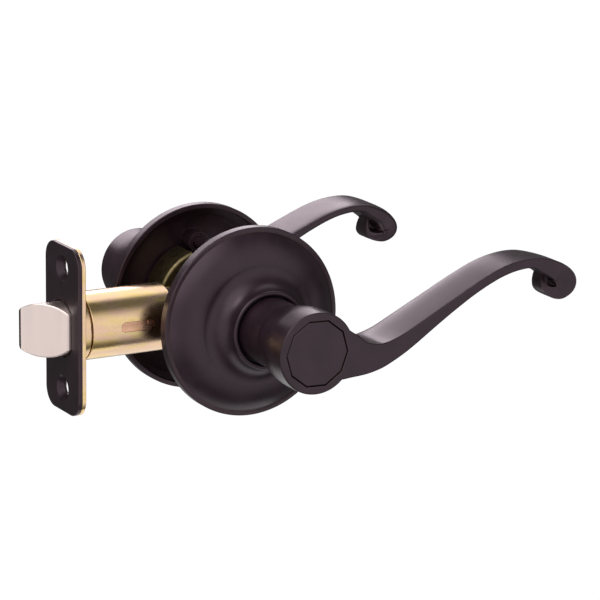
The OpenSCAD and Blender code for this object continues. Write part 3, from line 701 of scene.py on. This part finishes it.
# Course of the arm seen from the front, from inside the hub to the tip of the scroll, in millimetres:
# [x, z, thickness across the strap, depth front to back, setback from the lever's face].
LEVER_COURSE = [
    [4, 0, 20, 17, 0], [9, -1.6, 17.6, 17, 0], [13, -2.7, 15, 17, 0], [16.5, -3.6, 12.3, 17.5, 0],
    [20, -4, 10.3, 18, 0], [24, -3.7, 8.6, 18.5, 0], [28, -2.6, 7.2, 19, 0], [32.5, -0.7, 6.3, 19, 0],
    [37.5, 2, 5.5, 19, 0], [44, 5.8, 4.6, 18.5, 0], [51, 9.8, 3.8, 18, 0], [60, 14.7, 3.2, 17.5, 0],
    [69, 18.8, 3.2, 17, 0], [76.5, 20.8, 3.3, 16.5, 0], [83, 21.1, 3.7, 16, 0], [88.2, 19.3, 5.4, 15.5, 0],
    [93.4, 16.5, 6.8, 15, 0], [96.2, 12.7, 8, 14.5, 0.3], [94.8, 9.9, 5.4, 13, 0.8],
    [91.9, 9.6, 3.8, 10.5, 1.5], [89.7, 10.8, 2.6, 8, 2.5], [89, 13, 1.9, 6.5, 3.5],
    [89.2, 15.2, 1.6, 5.5, 4.2], [89.6, 16.8, 1.4, 5, 4.5]]


def strap_ring(at, left, half_left, half_right, depth, setback):
    """The strap's section at one station: flat in front and nearly square, with rounded corners behind."""
    steps, square = 28, 0.4
    ring = []
    for k in range(steps + 1):
        a = math.pi * k / steps
        c, s = math.cos(a), max(math.sin(a), 0)
        half = half_left if c > 0 else half_right
        p = at + left * (half * math.copysign(abs(c) ** square, c))
        ring.append((p.x, p.y, face_h - setback - depth * s ** square))
    return ring


def make_arm():
    """The strap along its course. On the inside of a tight bend it stops short of the bend's centre."""
    stations = smooth_course([[v * MM for v in row] for row in LEVER_COURSE], 7)
    path = [Vector(row[:2]) for row in stations]
    tightest, nothing = 0.92, 1e-12
    straightest = 1e-6
    rings = []
    for i, (x, y, thickness, depth, setback) in enumerate(stations):
        before = path[i] - path[max(i - 1, 0)]
        after = path[min(i + 1, len(path) - 1)] - path[i]
        along = (before + after).normalized()
        left = Vector((-along.y, along.x))
        turn = before.cross(after) / max(before.length * after.length, nothing)
        bend_r = (before.length + after.length) / 2 / max(abs(turn), straightest)
        inside = min(thickness / 2, tightest * bend_r)
        halves = (inside, thickness / 2) if turn > 0 else (thickness / 2, inside)
        rings.append(strap_ring(path[i], left, *halves, depth, max(setback, 0)))
    return skin("arm", rings)


def hub_profile():
    """Radius against height above the door: a journal in the bearing, the neck, and a bulb-shaped hub."""
    journal_r, neck_r = 9.5 * MM, 11.3 * MM
    inner_end = -lever_hi.y - door_half
    shoulder, swell_from, swell_l, waist_r = 13.5 * MM, 28 * MM, 14 * MM, 2.5 * MM
    steps = 24
    swell = [(neck_r + (hub_r - neck_r) * math.sin(math.pi / 2 * t), swell_from + swell_l * t)
             for t in (i / steps for i in range(2, steps + 1))]
    return rounded([(0, inner_end, 0), (journal_r, inner_end, 0.3 * MM), (journal_r, shoulder, 0),
                    (neck_r, shoulder, 0.3 * MM), (neck_r, swell_from, waist_r)] + sharp(swell)
                   + [(hub_r, face_h, 0), (0, face_h, 0)])


def decagon(r):
    """The plug's outline for a corner radius."""
    return [polar(r, plug_turn + 360 * k / sides_of_plug) for k in range(sides_of_plug)]


def hang_on_both_sides(shape, name, node):
    """Puts copies of a shape on the front and rear levers, each with its lever's droop."""
    for side in SIDES:
        hang = Matrix.Rotation(math.radians(-LEVER_DROOP[side]), 4, "Z")
        dress(placed(shape, side + name, on_door(side) @ hang), side + node, side + "_lever")
    bpy.data.objects.remove(shape)


def make_levers():
    """One handle shape, hollow for the drive sleeve, its clip and the plug, for both sides of the door."""
    plug_gap, sleeve_gap, near = 0.28 * MM, 0.01 * MM, 0.01 * MM
    clip_pocket_r, clip_pocket_h = 9 * MM, 41.1 * MM
    pocket_edge_r = plug_r + 1 * MM
    inner_end = -lever_hi.y - door_half
    shape = lathe("handle", hub_profile(), segments=192)
    combine(shape, make_arm(), "UNION")
    pocket = prism("pocket", decagon(plug_r + plug_gap), face_h - plug_t, face_h + beyond)
    combine(shape, pocket, "DIFFERENCE")
    combine(shape, prism("clip_pocket", circle(clip_pocket_r), clip_pocket_h, face_h), "DIFFERENCE")
    drill(shape, inner_end, face_h, Matrix.Identity(4), [(0, 0)], sleeve_r + sleeve_gap)

    def in_face(edge):
        return all(abs(v.co.z - face_h) < near for v in edge.verts)

    def round_pocket(edge):
        return max(v.co.xy.length for v in edge.verts) < pocket_edge_r

    soften(shape, 0.55 * MM, chosen=lambda edge: in_face(edge) and not round_pocket(edge))
    soften(shape, 0.12 * MM, chosen=lambda edge: in_face(edge) and round_pocket(edge))
    hang_on_both_sides(shape, "_handle", "_lever")


def make_plugs():
    shape = prism("cap", decagon(plug_r), face_h - plug_t, face_h)
    soften(shape, 0.45 * MM, angle=30)
    hang_on_both_sides(shape, "_cap", "_lever_plug")


make_faceplate()
make_backing()
make_collar()
make_tube()
make_guide_sleeve()
make_bolt()
make_bolt_spring()
make_tail_springs()
for side in SIDES:
    make_rose(side)
    make_spring_cup(side)
    make_return_spring(side)
make_levers()
make_plugs()


# ---------------------------------------------------------------- pieces kept from the CAD frame

def keep(node):
    """Welds a CAD node's facets and rounds its sharp edges, without touching its mesh."""
    thing = frame["nodes"][node]
    thing.modifiers.new("weld", "WELD").merge_threshold = 0.001 * MM
    edges = thing.modifiers.new("edges", "BEVEL")
    edges.width = 0.12 * MM
    edges.segments = 2
    edges.limit_method = "ANGLE"
    edges.angle_limit = math.radians(50)
    thing.modifiers.new("normals", "WEIGHTED_NORMAL")


for node, thing in frame["nodes"].items():
    if not thing.hide_render:
        keep(node)


# ---------------------------------------------------------------- floor, light and camera

PAPER = 1.03                               # brightness of the floor and the backdrop to the camera


def make_floor():
    """A plain pale floor, well below the lockset, that the metal doesn't reflect."""
    drop, half = 130 * MM, 6
    mesh = bpy.data.meshes.new("floor")
    corners = rectangle(-half, half, -half, half)
    mesh.from_pydata([(c.x, c.y, -drop) for c in corners], [], [(0, 1, 2, 3)])
    floor = bpy.data.objects.new("floor", mesh)
    bpy.context.scene.collection.objects.link(floor)
    floor.visible_glossy = False
    floor.visible_diffuse = False
    material = bpy.data.materials.new("pale_floor")
    material.use_nodes = True
    tree = material.node_tree
    tree.nodes.clear()
    speckle = add(tree, "ShaderNodeTexNoise", {"Scale": 40.0}).outputs["Fac"]
    pale = ramp(tree, speckle, [(0.3, (0.99, 0.99, 0.99)), (0.7, (1.0, 1.0, 1.0))])
    glow = add(tree, "ShaderNodeEmission", {"Color": pale, "Strength": PAPER})
    add(tree, "ShaderNodeOutputMaterial", {"Surface": glow.outputs["Emission"]})
    mesh.materials.append(material)


# A soft studio tent, as glows round directions: [direction, full within, gone beyond (degrees), strength].
TENT = [[(0.2, -0.95, 0), 20, 62, 0.85], [(-0.5, -0.35, 0.72), 10, 45, 1.9],
        [(-0.93, -0.3, -0.15), 12, 46, 0.85], [(0.45, 0.45, 0.77), 10, 28, 1.2]]
TENT_BASE = 0.13


def make_world():
    """The studio tent as metal and bronze reflect it; the camera itself sees plain white."""
    world = bpy.data.worlds.new("tent")
    world.use_nodes = True
    bpy.context.scene.world = world
    tree = world.node_tree
    tree.nodes.clear()
    direction = add(tree, "ShaderNodeTexCoord").outputs["Generated"]
    total = TENT_BASE
    for axis, full, gone, strength in TENT:
        towards = add(tree, "ShaderNodeVectorMath", {0: direction, 1: Vector(axis).normalized()},
                      operation="DOT_PRODUCT").outputs["Value"]
        edges = math.cos(math.radians(gone)), math.cos(math.radians(full))
        glow = remap(tree, towards, edges, (0.0, strength), interpolation_type="SMOOTHSTEP")
        total = add(tree, "ShaderNodeMath", {0: glow, 1: total}, operation="ADD").outputs["Value"]
    seen = add(tree, "ShaderNodeLightPath").outputs["Is Camera Ray"]
    tent = add(tree, "ShaderNodeBackground", {"Color": (1, 0.98, 0.99, 1), "Strength": total})
    paper = add(tree, "ShaderNodeBackground", {"Color": (1, 1, 1, 1), "Strength": PAPER})
    both = {0: seen, 1: tent.outputs["Background"], 2: paper.outputs["Background"]}
    mixed = add(tree, "ShaderNodeMixShader", both)
    add(tree, "ShaderNodeOutputWorld", {"Surface": mixed.outputs["Shader"]})


def softbox(name, direction, distance, width, height, radiance, colour=(1, 1, 1)):
    """A rectangular light, aimed at the middle of the lockset from a direction."""
    light = bpy.data.lights.new(name, "AREA")
    light.shape = "RECTANGLE"
    light.size = width
    light.size_y = height
    light.energy = radiance * math.pi * width * height
    light.color = colour
    lamp = bpy.data.objects.new(name, light)
    bpy.context.scene.collection.objects.link(lamp)
    lamp.location = Vector(direction).normalized() * distance
    lamp.rotation_mode = "QUATERNION"
    lamp.rotation_quaternion = Vector(direction).to_track_quat("Z", "Y")
    lamp.visible_camera = False


def make_camera():
    """A long lens from the front left, a little above, with its aim moved off the frame's origin."""
    azimuth, elevation, roll = math.radians(28.01), math.radians(14.75), math.radians(0.38)
    distance, lens = 1.1927, 210.2
    aim_right, aim_up = 26.4 * MM, 2.6 * MM
    back = Vector((-math.sin(azimuth) * math.cos(elevation), -math.cos(azimuth) * math.cos(elevation),
                   math.sin(elevation)))
    level = Vector((math.cos(azimuth), -math.sin(azimuth), 0))
    tilt = Matrix.Rotation(roll, 3, back)
    right = tilt @ level
    up = tilt @ back.cross(level)
    camera = bpy.data.objects.new("camera", bpy.data.cameras.new("camera"))
    bpy.context.scene.collection.objects.link(camera)
    z = (back * distance - right * aim_right - up * aim_up).normalized()
    x = up.cross(z).normalized()
    y = z.cross(x)
    camera.matrix_world = Matrix.Translation(back * distance) @ Matrix((x, y, z)).transposed().to_4x4()
    camera.data.lens = lens
    camera.data.clip_start = 0.01
    bpy.context.scene.camera = camera


make_floor()
make_world()
softbox("back_light", (0.175, 0.87, 0.45), distance=0.344, width=0.32, height=0.13, radiance=3.8,
        colour=(1, 0.9, 0.96))
softbox("left_light", (-0.57, 0.0, 0.77), distance=1.1, width=0.45, height=0.45, radiance=2.2)
softbox("low_card", (0, 0.25, -1), distance=0.128, width=0.17, height=0.16, radiance=0.9)
make_camera()
bpy.context.scene.view_settings.view_transform = "Standard"
